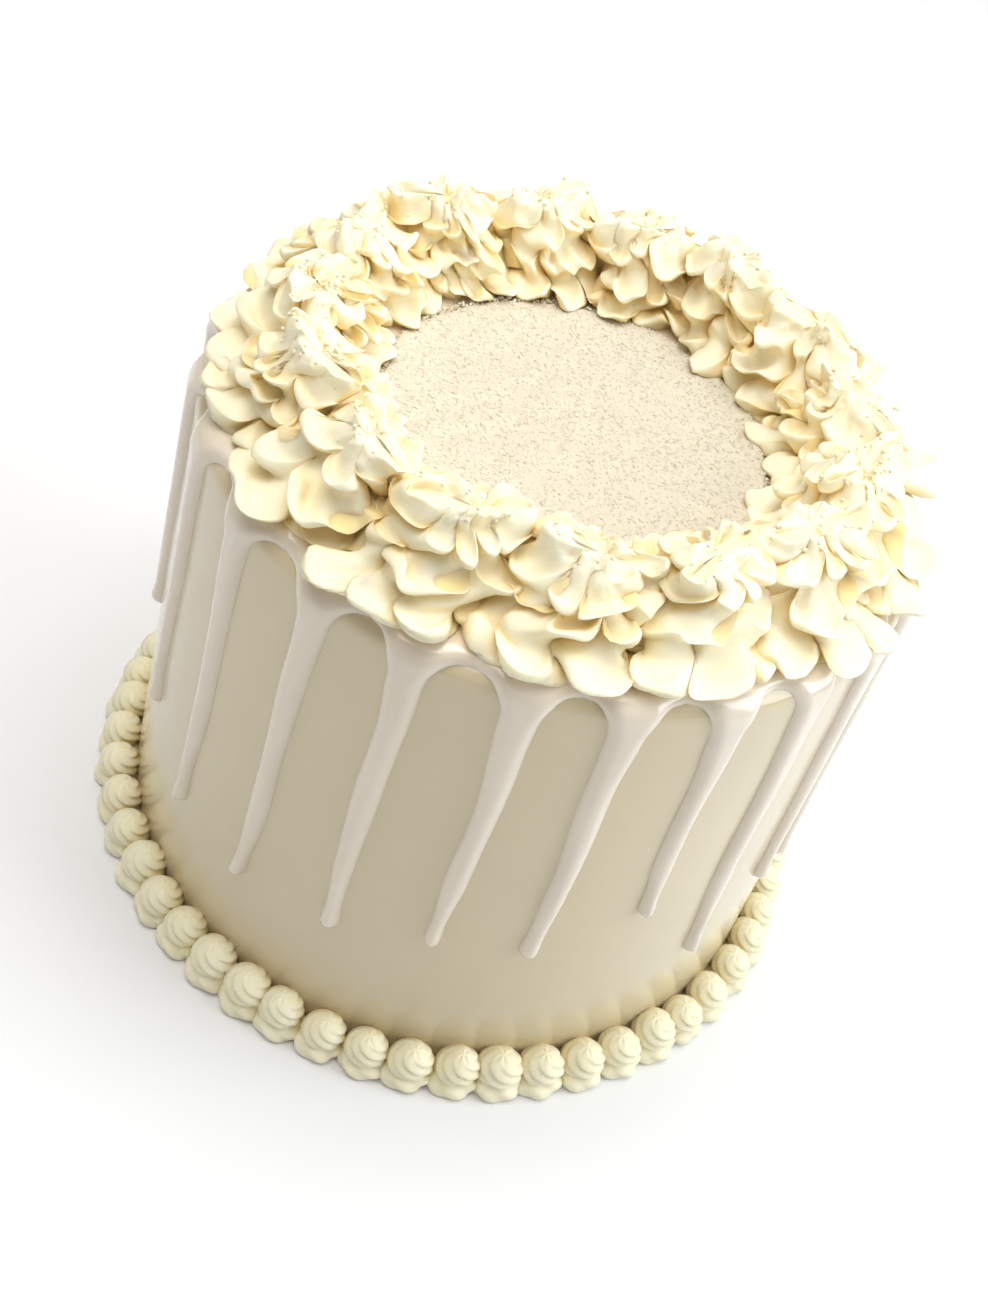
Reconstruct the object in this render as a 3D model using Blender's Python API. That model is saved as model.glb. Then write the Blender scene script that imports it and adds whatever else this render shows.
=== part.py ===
"""Drip cake: a tall round cake with a poured ganache cap, drips, piped swirls, sugar and a bead border.

Every size is in millimetres and every angle in degrees, and add_object turns the points into metres.
The cake stands on z = 0 with its axis on +Z. Angles are counted from +X, seen from above, and the
front faces -Y.
"""
import math
import random

import bmesh
import bpy
import numpy as np

MM = 0.001
GAP = 0.3

# Cake under the ganache
FOOT_RADIUS = 80.0
DRAFT = 2.0
CAKE_HEIGHT = 122.0
SHOULDER = 4.0
FOOT_ROUND = 1.5
CAKE_SIDES = 48

# Ganache cap and drips
GANACHE_TOP = 124.0
COAT = 1.6
COAT_EDGE = 0.45
DRIP_THICKNESS = 2.1
COAT_ROUND = 1.6
CAP_ROUND = 4.5
CAP_FLAT_RADIUS = 73.0
# Inside of the cap, clear of the cake's shoulder: how far below the cake's top and in from its side
CAP_INNER_DROP = 2.1
CAP_INNER_BEVEL = 2.5
ARCH_HEIGHT = 118.6
# Angle at the rim, height of the tip and sideways drift of the drips along the front, left to right
FRONT_DRIPS = (
    (206.5, 43.0, -1.0),
    (223.0, 34.0, -2.0),
    (240.3, 33.0, -4.0),
    (255.5, 37.0, -1.2),
    (271.8, 44.0, -1.2),
    (286.6, 45.0, -1.6),
    (301.6, 57.0, 0.6),
    (316.0, 33.0, 1.5),
    (330.5, 46.0, 1.0),
)
BACK_DRIPS = 14
# Distance from a drip's middle and how far down its edge is there, as a share of the drip and in mm
DRIP_OUTLINE = (
    (0.0, 1.0, 0.0),
    (1.3, 1.0, -0.5),
    (2.1, 1.0, -2.4),
    (3.1, 0.0, 16.0),
    (4.8, 0.0, 5.0),
)
# Index in DRIP_OUTLINE from which the ganache is the cap's flare and no longer the drip itself
FLARE = 3
DRIP_ROWS = (0.0, 0.14, 0.56, 1.0)
DRIFT_POWER = 1.5
BACK_ANGLE_JITTER = 1.2
BACK_TIP_RANGE = (33.0, 60.0)
BACK_DRIFT = 2.5
DRIP_SEED = 31

# Ring of piped swirls
SWIRLS = 15
FIRST_SWIRL = 227.0
RING_RADIUS = 58.0
SWIRL_BASE = GANACHE_TOP + GAP
SWIRL_COLUMNS = 24
LEAN = 0.28
LEAN_HEIGHT = 9.0
LOBES = 8
TIERS = 3
# How much wider petals are at their edge than at their root, and how deep the creases are where it holds
BULB = 0.09
BULB_CREASE = 0.45
# How square each tier's outline is: 2 is an oval
SQUARENESS = (3.2, 2.7, 2.2)
PETAL_UNEVENNESS = (0.26, 0.16)
PETAL_SIZES = (0.72, 1.2)
PETAL_HANG = (-0.9, 0.7)
HANG_SHARE = 0.35
PETAL_MIDDLE = 0.45
LOWEST_HANG = 0.6
PETAL_ROUNDNESS = 0.7
# How far petals lean sideways over each other, as a share of a petal's width where creases are deepest
PETAL_LEAN = (0.15, 0.5)
# How far the creases swing from side to side on their way up, how fast, and in how many waves around
FOLD_SWING = 0.3
FOLD_RATE = 0.5
FOLD_WAVES = 2.0
# How far low petals are pushed out towards the rim, as a share, how much more at the front angle and
# less opposite it, and up to what height
OUTWARD = 0.14
OUTWARD_FRONT = 0.10
FRONT_ANGLE = 283.0
OUTWARD_HEIGHT = 6.0
SIZE_RANGE = (0.96, 1.04)
HEIGHT_RANGE = (0.88, 1.03)
TWIST_RANGE = (0.25, 0.6)
TWIST_HEIGHT = 20.0
WAVE_SIZE = 0.9
WAVE_RATE = 0.40
WAVE_BEND = 1.6
WAVE_BEND_RATE = 0.30
# How far on in the waves each swirl is from the one before it, in radians
BEND_STEP = 2.1
WAVE_STEP = 7.3
FLAT_FOOT = 3.0
# How swirls press on each other: softness and reach of the press, and turn and tilt of the seams
PRESS_SOFTNESS = 1.0
PRESS_REACH = 6.0
SEAM_TURN = 0.3
SEAM_TILT = 0.08
SEAM_GAP = 0.2
SWIRL_SEED = 4100
SEAM_SEED = 900
# Rows from the foot of a swirl to its crest: reach across the ring, reach along the ring, height,
# depth of the creases between petals as a share, droop of the petals, and tier
SWIRL_ROWS = (
    (15.6, 13.6, 0.0, 0.15, 0.0, 0.0),
    (19.4, 16.1, 2.9, 0.45, 0.4, 0.0),
    (13.0, 13.4, 4.8, 0.34, 0.3, 0.7),
    (13.2, 13.7, 6.9, 0.40, 1.5, 1.0),
    (15.7, 15.0, 9.3, 0.51, 2.8, 1.0),
    (9.0, 13.0, 11.0, 0.34, 1.0, 1.7),
    (9.2, 13.3, 12.9, 0.40, 1.4, 2.0),
    (11.1, 14.4, 14.9, 0.50, 2.1, 2.0),
    (3.7, 12.4, 19.1, 0.26, 0.7, 2.0),
)
CREST_DIP = 16.6

# Sugar in the middle
SUGAR_RADIUS = 38.0
SUGAR_BOTTOM = GANACHE_TOP + GAP
SUGAR_THICKNESS = 1.0
SUGAR_BUMP = 0.35
SUGAR_SIDES = 36
SUGAR_RINGS = (1.0, 0.72, 0.4)
SUGAR_SEED = 77

# Bead border round the foot
BEADS = 52
BEAD_COLUMNS = 4
BORDER_INNER_RADIUS = FOOT_RADIUS + GAP + 0.05
# Outline of a bead: distance out from the cake's side and height
BEAD_OUTLINE = ((0.0, 0.0), (0.0, 8.2), (3.4, 10.4), (6.9, 7.4), (8.8, 3.0), (8.2, 0.0))
BEAD_NECK_WIDTH = 0.80
BEAD_NECK_HEIGHT = 0.62
BEAD_SIZES = (0.94, 1.05)
BEAD_ROUNDNESS = 0.7
BEAD_SEED = 52


def clear_scene():
    for item in list(bpy.data.objects):
        bpy.data.objects.remove(item)


def material(name, colour, roughness):
    made = bpy.data.materials.new(name)
    made.use_nodes = True
    shader = made.node_tree.nodes["Principled BSDF"]
    shader.inputs["Base Color"].default_value = (*colour, 1.0)
    shader.inputs["Roughness"].default_value = roughness
    shader.inputs["Metallic"].default_value = 0.0
    return made


def add_object(name, shape, surface):
    bmesh.ops.recalc_face_normals(shape, faces=shape.faces)
    bmesh.ops.triangulate(shape, faces=shape.faces)
    mesh = bpy.data.meshes.new(name)
    shape.to_mesh(mesh)
    shape.free()
    mesh.shade_smooth()
    mesh.materials.append(surface)
    bpy.context.scene.collection.objects.link(bpy.data.objects.new(name, mesh))


def rings_to_shape(rings, tip=None, hoop=False):
    """Skin a stack of rings: the first ring is capped flat, the last one flat or to a tip point.

    A hoop has no caps: its last ring joins its first one.
    """
    shape = bmesh.new()
    loops = [[shape.verts.new([value * MM for value in point]) for point in ring] for ring in rings]
    pairs = list(zip(loops, loops[1:]))
    if hoop:
        pairs.append((loops[-1], loops[0]))
    for lower, upper in pairs:
        for near, far in zip(range(len(lower)), list(range(1, len(lower))) + [0]):
            shape.faces.new((lower[near], lower[far], upper[far], upper[near]))
    if hoop:
        return shape
    shape.faces.new(loops[0])
    if tip is None:
        shape.faces.new(loops[-1])
        return shape
    peak = shape.verts.new([value * MM for value in tip])
    for near, far in zip(range(len(loops[-1])), list(range(1, len(loops[-1]))) + [0]):
        shape.faces.new((loops[-1][near], loops[-1][far], peak))
    return shape


def circle(radius, height, sides):
    turn = 2.0 * math.pi / sides
    return [(radius * math.cos(turn * i), radius * math.sin(turn * i), height) for i in range(sides)]


def wall_radius(height):
    """Radius of the cake's side, which leans in a little towards the top."""
    return FOOT_RADIUS - DRAFT * height / CAKE_HEIGHT


def build_cake():
    top = wall_radius(CAKE_HEIGHT)
    shoulder_height = CAKE_HEIGHT - SHOULDER
    halfway = SHOULDER * math.sqrt(0.5)
    rings = [
        circle(FOOT_RADIUS - FOOT_ROUND, 0.0, CAKE_SIDES),
        circle(FOOT_RADIUS, FOOT_ROUND, CAKE_SIDES),
        circle(wall_radius(shoulder_height), shoulder_height, CAKE_SIDES),
        circle(top - SHOULDER + halfway, shoulder_height + halfway, CAKE_SIDES),
        circle(top - SHOULDER, CAKE_HEIGHT, CAKE_SIDES),
    ]
    add_object("cake_body", rings_to_shape(rings), material("buttercream", (0.72, 0.67, 0.53), 0.55))


def all_drips():
    """Angle, tip height and drift of every drip: the front ones, then the back ones spread evenly."""
    chance = random.Random(DRIP_SEED)
    first = FRONT_DRIPS[-1][0]
    span = FRONT_DRIPS[0][0] + 360.0 - first
    drips = list(FRONT_DRIPS)
    for step in range(1, BACK_DRIPS + 1):
        angle = first + span * step / (BACK_DRIPS + 1)
        angle += chance.uniform(-BACK_ANGLE_JITTER, BACK_ANGLE_JITTER)
        drips.append((angle, chance.uniform(*BACK_TIP_RANGE), chance.uniform(-BACK_DRIFT, BACK_DRIFT)))
    return drips


def drip_columns():
    """Columns round the cap: rim angle, distance from the drip's middle, edge height and the drip."""
    drips = all_drips()
    columns = []
    for index, drip in enumerate(drips):
        length = ARCH_HEIGHT - drip[1]
        offsets = [(-out, share, down) for out, share, down in DRIP_OUTLINE[:0:-1]] + list(DRIP_OUTLINE)
        for out, share, down in offsets:
            angle = drip[0] + math.degrees(out / FOOT_RADIUS)
            columns.append((angle, out, ARCH_HEIGHT - share * length - down, drip))
        following = drips[(index + 1) % len(drips)][0]
        middle = drip[0] + ((following - drip[0]) % 360.0) / 2.0
        columns.append((middle, CAP_FLAT_RADIUS, ARCH_HEIGHT, (middle, ARCH_HEIGHT, 0.0)))
    return columns


def drip_half_width(height, drip):
    """Half the width of a drip at a height, wide under the rim and narrow from there down."""
    length = ARCH_HEIGHT - drip[1]
    depths = [share * length + down for _, share, down in DRIP_OUTLINE[::-1]]
    widths = [out for out, _, _ in DRIP_OUTLINE[::-1]]
    return float(np.interp(ARCH_HEIGHT - height, depths, widths))


def coat_thickness(out, height, edge, drip):
    """Thickness of the ganache: full inside, rounded off towards its edge."""
    inside = min(height - edge, drip_half_width(height, drip) - abs(out))
    if abs(out) > DRIP_OUTLINE[-1][0]:
        inside = height - edge
    full = DRIP_THICKNESS if abs(out) < DRIP_OUTLINE[FLARE][0] else COAT
    return COAT_EDGE + (full - COAT_EDGE) * math.sqrt(min(max(inside / COAT_ROUND, 0.0), 1.0))


def polar(angle, radius, height):
    turn = math.radians(angle)
    return (radius * math.cos(turn), radius * math.sin(turn), height)


def build_ganache():
    columns = drip_columns()
    wall_top = GANACHE_TOP - CAP_ROUND
    outer = wall_radius(wall_top) + GAP + COAT
    halfway = CAP_ROUND * math.sqrt(0.5)
    rings = [
        [polar(angle, CAP_FLAT_RADIUS, GANACHE_TOP) for angle, _, _, _ in columns],
        [polar(angle, outer - CAP_ROUND + halfway, wall_top + halfway) for angle, _, _, _ in columns],
    ]
    for share in DRIP_ROWS:
        ring = []
        for angle, out, edge, drip in columns:
            height = wall_top + (edge - wall_top) * share
            drop = (wall_top - height) / (wall_top - drip[1])
            turned = angle + math.degrees(drip[2] * drop ** DRIFT_POWER / FOOT_RADIUS)
            radius = wall_radius(height) + GAP + coat_thickness(out, height, edge, drip)
            ring.append(polar(turned, outer if share == 0.0 else radius, height))
        rings.append(ring)
    under = []
    for (_, _, edge, _), point in zip(columns, rings[-1]):
        turned = math.degrees(math.atan2(point[1], point[0]))
        under.append(polar(turned, wall_radius(edge) + GAP, edge))
    rings.append(under)
    corner = CAKE_HEIGHT - CAP_INNER_DROP
    rings.append([polar(angle, wall_radius(corner) + GAP, corner) for angle, _, _, _ in columns])
    bevel = wall_radius(CAKE_HEIGHT) - CAP_INNER_BEVEL
    rings.append([polar(angle, bevel, CAKE_HEIGHT + GAP) for angle, _, _, _ in columns])
    add_object("ganache_drip", rings_to_shape(rings), material("ganache", (0.80, 0.74, 0.68), 0.22))


def petal_tier(pattern, chance):
    """One tier of petals: the pattern all tiers share, and each petal's size, hang and lean."""
    size = np.array([chance.uniform(*PETAL_SIZES) for _ in range(LOBES)])
    hang = np.array([chance.uniform(*PETAL_HANG) for _ in range(LOBES)])
    side = chance.choice((-1.0, 1.0)) * 2.0 * math.pi / LOBES
    lean = np.array([side * chance.uniform(*PETAL_LEAN) for _ in range(LOBES)])
    return pattern, (size, hang, lean)


def lobes(around, tier):
    """Petals round a swirl: how far out, how low and how far aside each point is, and its swell."""
    (phase, shift), traits = tier
    uneven = around.copy()
    for wave, (amount, start) in enumerate(zip(PETAL_UNEVENNESS, shift), start=1):
        uneven += amount * np.sin(wave * around + start)
    place = LOBES * uneven / (2.0 * math.pi) + phase
    which = np.floor(place).astype(int) % LOBES
    bulge = np.abs(np.sin(math.pi * place)) ** PETAL_ROUNDNESS
    swell = -BULB * np.sin(2.0 * math.pi * place) * 2.0 * math.pi / LOBES
    return [bulge * trait[which] for trait in traits] + [swell]


def swirl_surface(index, rows, columns):
    """Points of one swirl before it is set on the ring: across, along and up."""
    chance = random.Random(SWIRL_SEED + index)
    around = np.arange(columns) * 2.0 * math.pi / columns
    pattern = (chance.random(), [chance.uniform(0.0, 2.0 * math.pi) for _ in range(2)])
    tiers = [petal_tier(pattern, chance) for _ in range(TIERS)]
    size = chance.uniform(*SIZE_RANGE)
    tall = chance.uniform(*HEIGHT_RANGE)
    twist = chance.choice((-1.0, 1.0)) * chance.uniform(*TWIST_RANGE)
    fold_start = chance.uniform(0.0, 2.0 * math.pi)
    points = np.zeros((len(rows), columns, 3))
    for number, (across, along, height, crease, droop, tier) in enumerate(rows):
        weights = [max(0.0, 1.0 - abs(tier - step)) for step in range(len(tiers))]
        folded = around + FOLD_SWING * np.sin(height * FOLD_RATE + fold_start + FOLD_WAVES * around)
        petals = [lobes(folded, petal) for petal in tiers]
        bulge, hang, lean, swell = (sum(weight * petal[value] for weight, petal in zip(weights, petals))
                                    for value in range(4))
        power = np.interp(tier, range(len(SQUARENESS)), SQUARENESS)
        reach = (np.abs(np.cos(around) / across) ** power
                 + np.abs(np.sin(around) / along) ** power) ** (-1.0 / power)
        reach = reach * size * (1.0 - crease * (1.0 - bulge))
        lowered = droop * np.minimum(bulge - PETAL_MIDDLE + HANG_SHARE * hang, LOWEST_HANG)
        up = np.maximum(height * tall - lowered, 0.0)
        turned = around + twist * up / TWIST_HEIGHT + lean * crease + swell * crease / BULB_CREASE
        points[number, :, 0] = reach * np.cos(turned)
        points[number, :, 1] = reach * np.sin(turned)
        points[number, :, 2] = up
    return points


def unevenness(points, index):
    """Slow waves that keep any two swirls from looking alike; the foot stays flat."""
    moved = points.copy()
    grown = np.clip(points[..., 2] / FLAT_FOOT, 0.0, 1.0)
    for axis, (first, second) in enumerate(((1, 2), (2, 0), (0, 1))):
        bend = WAVE_BEND * np.cos(points[..., second] * WAVE_BEND_RATE + index * BEND_STEP)
        phase = points[..., first] * WAVE_RATE + bend + index * WAVE_STEP
        moved[..., axis] += WAVE_SIZE * grown * np.sin(phase)
    return moved


def set_on_ring(points, index):
    """Bend a swirl to the ring, lean it over its neighbour and press it against both neighbours."""
    pitch = 2.0 * math.pi / SWIRLS
    middle = math.radians(FIRST_SWIRL) + index * pitch
    share = OUTWARD + OUTWARD_FRONT * math.cos(middle - math.radians(FRONT_ANGLE))
    outward = share * (points[..., 0] > 0.0) * np.exp(-(points[..., 2] / OUTWARD_HEIGHT) ** 2)
    radius = RING_RADIUS + points[..., 0] * (1.0 + outward)
    leaned = points[..., 1] + LEAN * (points[..., 2] - LEAN_HEIGHT)
    turn = middle + leaned / RING_RADIUS
    placed = np.stack([radius * np.cos(turn), radius * np.sin(turn), SWIRL_BASE + points[..., 2]], -1)
    for side in (0, 1):
        seam = middle + (side - 0.5) * pitch
        chance = random.Random(SEAM_SEED + (index + side) % SWIRLS)
        turned = seam + chance.uniform(-SEAM_TURN, SEAM_TURN)
        tilt = chance.uniform(-SEAM_TILT, SEAM_TILT) - LEAN
        normal = np.array([-math.sin(turned), math.cos(turned), tilt])
        normal *= (1.0 - 2.0 * side) / np.linalg.norm(normal)
        centre = np.array([RING_RADIUS * math.cos(seam), RING_RADIUS * math.sin(seam),
                           SWIRL_BASE + LEAN_HEIGHT])
        depth = (placed - centre) @ normal
        pressed = 0.5 * (depth + np.sqrt(depth * depth + 4.0 * PRESS_SOFTNESS ** 2))
        move = (pressed - depth) * np.exp(-np.maximum(depth, 0.0) / PRESS_REACH) + SEAM_GAP
        placed = placed + move[..., None] * normal
    return placed


def build_swirls():
    cream = material("piped_buttercream", (0.93, 0.86, 0.66), 0.5)
    for index in range(SWIRLS):
        rows = set_on_ring(unevenness(swirl_surface(index, SWIRL_ROWS, SWIRL_COLUMNS), index), index)
        crest = np.mean(rows[-1], axis=0)
        crest[2] = SWIRL_BASE + CREST_DIP
        rings = [[tuple(point) for point in ring] for ring in rows]
        flat = [(x, y, SWIRL_BASE) for x, y, _ in rings[0]]
        add_object(f"swirl_{index + 1:02d}", rings_to_shape([flat] + rings[1:], tuple(crest)), cream)


def build_sugar():
    chance = random.Random(SUGAR_SEED)
    rings = [circle(SUGAR_RADIUS, SUGAR_BOTTOM, SUGAR_SIDES)]
    for share in SUGAR_RINGS:
        ring = []
        for x, y, _ in circle(SUGAR_RADIUS * share, 0.0, SUGAR_SIDES):
            up = SUGAR_BOTTOM + SUGAR_THICKNESS + chance.uniform(-SUGAR_BUMP, SUGAR_BUMP)
            ring.append((x, y, up))
        rings.append(ring)
    tip = (0.0, 0.0, SUGAR_BOTTOM + SUGAR_THICKNESS)
    add_object("sugar_layer", rings_to_shape(rings, tip), material("sugar", (0.86, 0.80, 0.68), 0.6))


def build_border():
    chance = random.Random(BEAD_SEED)
    sizes = [chance.uniform(*BEAD_SIZES) for _ in range(BEADS)]
    rings = []
    for out, height in BEAD_OUTLINE:
        ring = []
        for column in range(BEADS * BEAD_COLUMNS):
            size = sizes[column // BEAD_COLUMNS]
            bulge = math.sin(math.pi * (column % BEAD_COLUMNS) / BEAD_COLUMNS) ** BEAD_ROUNDNESS
            wide = BEAD_NECK_WIDTH + (size - BEAD_NECK_WIDTH) * bulge
            tall = BEAD_NECK_HEIGHT + (size - BEAD_NECK_HEIGHT) * bulge
            angle = 360.0 * column / (BEADS * BEAD_COLUMNS)
            ring.append(polar(angle, BORDER_INNER_RADIUS + out * wide, height * tall))
        rings.append(ring)
    add_object("base_border", rings_to_shape(rings, hoop=True),
               material("border_buttercream", (0.90, 0.85, 0.68), 0.5))


clear_scene()
build_cake()
build_ganache()
build_swirls()
build_sugar()
build_border()
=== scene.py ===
"""Looks of the drip cake: fine meshes and materials for the cake, ganache, swirls, sugar and bead border.

Sizes are in millimetres and angles in degrees, counted from +X seen from above; the meshes are in metres.
"""

import math
import random

import bmesh
import bpy
import numpy as np
from mathutils import Matrix, Vector
from mathutils.bvhtree import BVHTree


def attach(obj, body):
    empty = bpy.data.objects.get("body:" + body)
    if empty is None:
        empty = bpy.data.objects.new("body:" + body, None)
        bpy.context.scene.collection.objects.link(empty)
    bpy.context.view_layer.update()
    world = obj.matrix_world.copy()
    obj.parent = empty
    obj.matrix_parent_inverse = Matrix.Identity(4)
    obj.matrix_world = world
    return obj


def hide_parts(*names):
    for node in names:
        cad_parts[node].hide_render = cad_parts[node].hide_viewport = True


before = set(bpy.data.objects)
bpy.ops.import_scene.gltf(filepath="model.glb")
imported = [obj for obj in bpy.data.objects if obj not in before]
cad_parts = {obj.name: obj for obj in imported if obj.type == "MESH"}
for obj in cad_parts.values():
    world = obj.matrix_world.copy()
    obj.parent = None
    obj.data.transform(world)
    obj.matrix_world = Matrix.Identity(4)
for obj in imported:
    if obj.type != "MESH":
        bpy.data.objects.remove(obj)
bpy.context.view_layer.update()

MM = 0.001
GAP = 0.3
TINY = 0.01

# Rays sent from each point to find how deep it lies, which sets the painted shade in creases, and the turn
# from one ray to the next
RAYS = 10
GOLDEN_TURN = 2.399963
SWIRL_REACH = 0.009
BEAD_REACH = 0.005
# Start of a ray off its surface in metres, how much less a hit counts at full reach, and rounds of smoothing
RAY_START = 0.0001
FAR_LOSS = 0.6
SMOOTH_ROUNDS = 3
# How steep a normal may be before another helper direction is used
STEEP = 0.9

# Cake under the ganache
FOOT_RADIUS = 80.0
DRAFT = 2.0
CAKE_HEIGHT = 122.0
SHOULDER = 4.0
FOOT_ROUND = 1.5
WALL_COLUMNS = 256
WALL_ROWS = 56
WALL_WAVE = 0.16
WALL_WAVE_SIZE = 26.0
WALL_WAVE_SEED = 11
# Height above the foot where waves and lines reach their full size
WALL_WAVE_START = 6.0
# Faint level lines left by the knife: height, size and how the noise is squeezed along X, Y and Z
WALL_LINE = 0.035
WALL_LINE_SIZE = 5.0
WALL_LINE_STRETCH = (0.12, 0.12, 1.6)
WALL_LINE_SEED = 12
SHOULDER_ROWS = 8
CAKE_TOP_SHARE = 0.6

# Ganache cap and drips; levels above the cake's side are counted along its rounded shoulder
GANACHE_TOP = 124.0
COAT = 2.0
CAP_RINGS = (66.0, 54.0, 30.0)
ARCH_LEVEL = 122.2
ARCH_DROP = 10.5
ARCH_WIDTH = 3.8
# How square the arches are: 1 is an oval
ARCH_POWER = 0.86
# Share of a drip's run below its arches and its half width there
DRIP_WIDTHS = ((0.0, 3.8), (0.12, 3.35), (0.3, 3.0), (0.55, 2.7), (0.75, 2.5), (0.87, 1.95), (0.95, 1.75),
               (1.0, 1.75))
DRIP_SIZES = (0.92, 1.08)
DRIP_COLUMNS = 20
ARCH_ROWS = 14
DRIP_ROWS = 30
TIP_ROWS = 8
RIM_ROWS = 9
RIM_TOP = 128.0
TIP_ROUND = 2.3
TIP_SWELL = 0.24
TIP_SWELL_REACH = 5.0
EDGE_ROUND = 2.9
NARROWEST = 1.7
EDGE_POWER = 0.62
SUNK = 0.35
DRIFT_POWER = 1.5
MEANDER = 0.45
MEANDER_RATE = 0.085
MEANDER_STEP = 1.7
MEANDER_START = 3.0
WIDTH_WAVE = 0.07
WIDTH_WAVE_RATE = 0.16
WIDTH_WAVE_STEP = 2.4
WIDTH_WAVE_START = 12.0
# Least share of its width that a drip keeps at the very end of its tip
TIP_END = 0.02
# Angle at the rim, height of the tip and sideways drift of the drips along the front, left to right
FRONT_DRIPS = (
    (206.5, 43.0, -1.0),
    (223.0, 34.0, -2.0),
    (240.3, 33.0, -4.0),
    (255.5, 37.0, -1.2),
    (271.8, 44.0, -1.2),
    (286.6, 45.0, -1.6),
    (301.6, 57.0, 0.6),
    (316.0, 33.0, 1.5),
    (330.5, 46.0, 1.0),
)
BACK_DRIPS = 14
BACK_ANGLE_JITTER = 1.2
BACK_TIP_RANGE = (33.0, 60.0)
BACK_DRIFT = 2.5
DRIP_SEED = 31

# Ring of piped swirls
SWIRLS = 15
FIRST_SWIRL = 227.0
RING_RADIUS = 58.0
SWIRL_BASE = GANACHE_TOP + GAP
SWIRL_SUNK = 0.6
SWIRL_COLUMNS = 132
SWIRL_STEPS = 4
LEAN = 0.28
LEAN_HEIGHT = 9.0
LOBES = 8
TIERS = 3
# How much wider petals are at their edge than at their root, and how deep the creases are where it holds
BULB = 0.09
BULB_CREASE = 0.45
SQUARENESS = (3.2, 2.7, 2.2)
PETAL_UNEVENNESS = (0.26, 0.16)
PETAL_SIZES = (0.72, 1.2)
PETAL_HANG = (-0.9, 0.7)
HANG_SHARE = 0.35
PETAL_MIDDLE = 0.45
LOWEST_HANG = 0.6
PETAL_ROUNDNESS = 0.7
PETAL_LEAN = (0.15, 0.5)
# How far the creases swing from side to side on their way up, how fast, and in how many waves around
FOLD_SWING = 0.3
FOLD_RATE = 0.5
FOLD_WAVES = 2.0
# How far low petals are pushed out towards the rim, as a share, how much more at the front angle and
# less opposite it, and up to what height
OUTWARD = 0.14
OUTWARD_FRONT = 0.10
FRONT_ANGLE = 283.0
OUTWARD_HEIGHT = 6.0
SIZE_RANGE = (0.96, 1.04)
HEIGHT_RANGE = (0.88, 1.03)
TWIST_RANGE = (0.25, 0.6)
TWIST_HEIGHT = 20.0
WAVE_SIZE = 0.9
WAVE_RATE = 0.40
WAVE_BEND = 1.6
WAVE_BEND_RATE = 0.30
# How far on in the waves each swirl is from the one before it, in radians
BEND_STEP = 2.1
WAVE_STEP = 7.3
FLAT_FOOT = 3.0
PRESS_SOFTNESS = 1.0
PRESS_REACH = 6.0
SEAM_TURN = 0.3
SEAM_TILT = 0.08
SEAM_OVERLAP = 6.0
SWIRL_SEED = 4100
SEAM_SEED = 900
# Rows from the foot of a swirl to its crest: reach across the ring, reach along the ring, height,
# depth of the creases between petals as a share, droop of the petals, tier, and depth of the hollow
# behind a petal's lip
SWIRL_ROWS = (
    (15.6, 13.6, 0.0, 0.15, 0.0, 0.0, 0.0),
    (17.6, 15.0, 0.7, 0.38, 0.1, 0.0, 0.0),
    (19.3, 16.1, 2.2, 0.48, 0.3, 0.0, 0.0),
    (19.4, 16.1, 3.1, 0.49, 0.5, 0.0, 0.0),
    (18.4, 15.6, 3.6, 0.46, 0.5, 0.1, 0.5),
    (15.8, 14.5, 3.9, 0.40, 0.4, 0.4, 1.1),
    (13.5, 13.7, 4.8, 0.35, 0.3, 0.7, 0.9),
    (13.1, 13.7, 6.0, 0.37, 0.9, 0.9, 0.3),
    (13.7, 14.0, 7.2, 0.42, 1.8, 1.0, 0.0),
    (15.1, 14.7, 8.5, 0.49, 2.6, 1.0, 0.0),
    (15.7, 15.0, 9.3, 0.51, 2.8, 1.0, 0.0),
    (15.3, 14.9, 10.0, 0.51, 2.8, 1.0, 0.0),
    (13.8, 14.4, 10.1, 0.47, 2.4, 1.0, 0.8),
    (11.5, 13.7, 10.2, 0.41, 1.8, 1.3, 1.3),
    (9.5, 13.2, 11.0, 0.36, 1.0, 1.7, 0.8),
    (9.1, 13.2, 12.2, 0.37, 1.0, 1.9, 0.2),
    (9.7, 13.5, 13.2, 0.42, 1.5, 2.0, 0.0),
    (10.8, 14.2, 14.2, 0.50, 2.2, 2.0, 0.0),
    (11.1, 14.4, 14.8, 0.52, 2.3, 2.0, 0.0),
    (10.7, 14.2, 15.4, 0.51, 2.3, 2.0, 0.0),
    (8.8, 13.8, 15.3, 0.46, 1.9, 2.0, 0.7),
    (6.6, 13.3, 16.0, 0.38, 1.3, 2.0, 0.8),
    (4.8, 12.8, 18.0, 0.30, 0.9, 2.0, 0.4),
    (3.7, 12.4, 19.1, 0.26, 0.7, 2.0, 0.0),
    (2.6, 12.0, 19.0, 0.20, 0.5, 2.0, 0.0),
    (1.2, 11.0, 18.0, 0.10, 0.3, 2.0, 0.0),
)
# Small folds along the lips: how many round a swirl, how far on they are from one tier to the next,
# and how far they reach out and up
RIPPLES = 12
RIPPLE_STEP = 2.1
RIPPLE_REACH = 0.5
RIPPLE_RISE = 0.75
RIPPLE_BEND = 1.9
RIPPLE_BEND_WAVES = 3.0
# Depth of the creases where ripples start, and how much deeper they are where ripples are full
RIPPLE_START = 0.3
RIPPLE_FULL = 0.12
# How much fainter they are on the top tier
RIPPLE_LOSS = 0.55
# Torn crests: height where the tearing starts, how much higher it is full, its depth, and its lumps
TEAR_START = 15.6
TEAR_FULL = 2.4
TEAR_DEPTH = 0.9
TEAR_SIZES = (3.0, 1.3)
TEAR_SEED = 40
# Shares of the tearing that go outward and upward
TEAR_OUT = 0.5
TEAR_UP = 0.8
CREAM_LUMPS = 0.12
CREAM_LUMP_SIZE = 2.2
CREAM_LUMP_SEED = 50

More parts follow.
